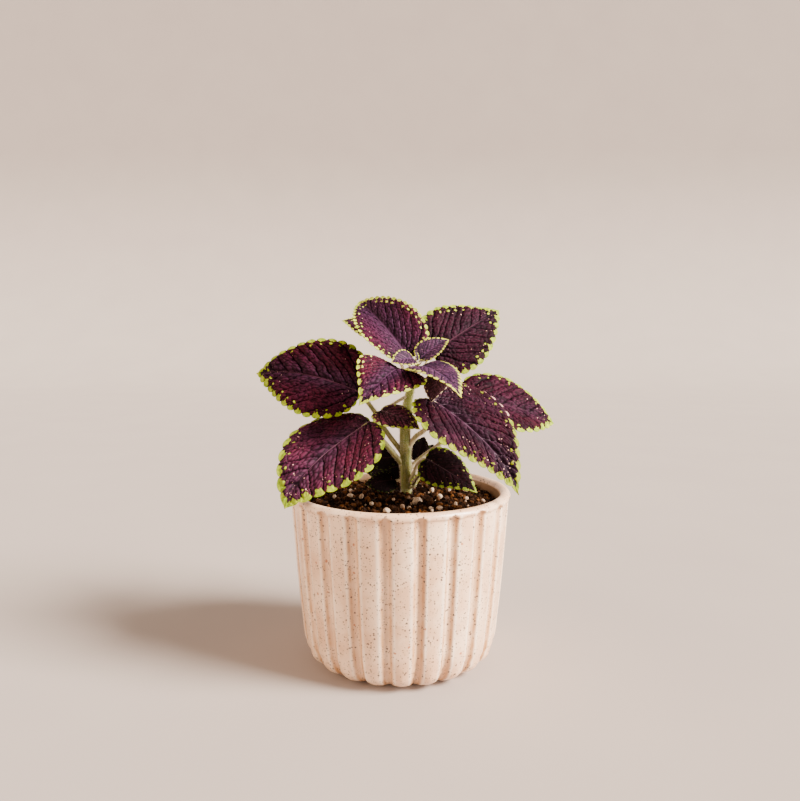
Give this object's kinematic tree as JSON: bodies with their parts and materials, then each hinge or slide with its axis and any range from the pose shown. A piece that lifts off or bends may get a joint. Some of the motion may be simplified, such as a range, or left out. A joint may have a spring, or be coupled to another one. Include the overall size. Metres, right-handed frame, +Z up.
{
  "type": "potted coleus",
  "caption": "Young coleus with toothed plum leaves edged in lime on a square stem, growing in potting mix in a round fluted stoneware pot.",
  "frame": {"origin": "centre of the pot's flat foot, on the surface that it stands on", "axes": "+Z up along the pot's axis, -Y towards the front of the plant, +X to the right seen from the front"},
  "size_m": [0.175, 0.12, 0.199],
  "materials": {
    "stoneware": "cream satin glaze with brown specks, breaking tan along the flutes",
    "potting_mix": "damp crumbly peat and bark",
    "perlite": "matt off-white grains in the potting mix",
    "green_stem": "olive green with fine pale hairs",
    "plum_leaf": "quilted satin plum with a lime toothed edge"
  },
  "bodies": {
    "root": {"pot": "stoneware", "soil": "potting_mix", "stem": "green_stem", "leaf_1_left": "plum_leaf", "leaf_1_right": "plum_leaf", "leaf_2_left": "plum_leaf", "leaf_2_right": "plum_leaf", "leaf_3_left": "plum_leaf", "leaf_3_right": "plum_leaf", "leaf_4_left": "plum_leaf", "leaf_4_right": "plum_leaf", "leaf_5_left": "plum_leaf", "leaf_5_right": "plum_leaf", "bud_leaf_front": "plum_leaf", "bud_leaf_back": "plum_leaf", "shoot_leaf_front": "plum_leaf", "shoot_leaf_side": "plum_leaf", "shoot_leaf_back": "plum_leaf", "basal_leaf_front": "plum_leaf", "basal_leaf_right_low": "plum_leaf", "basal_leaf_right_high": "plum_leaf", "basal_leaf_right_front": "plum_leaf", "basal_leaf_left_high": "plum_leaf", "basal_leaf_left_middle": "plum_leaf", "basal_leaf_left_low": "plum_leaf"}
  },
  "joints": []
}
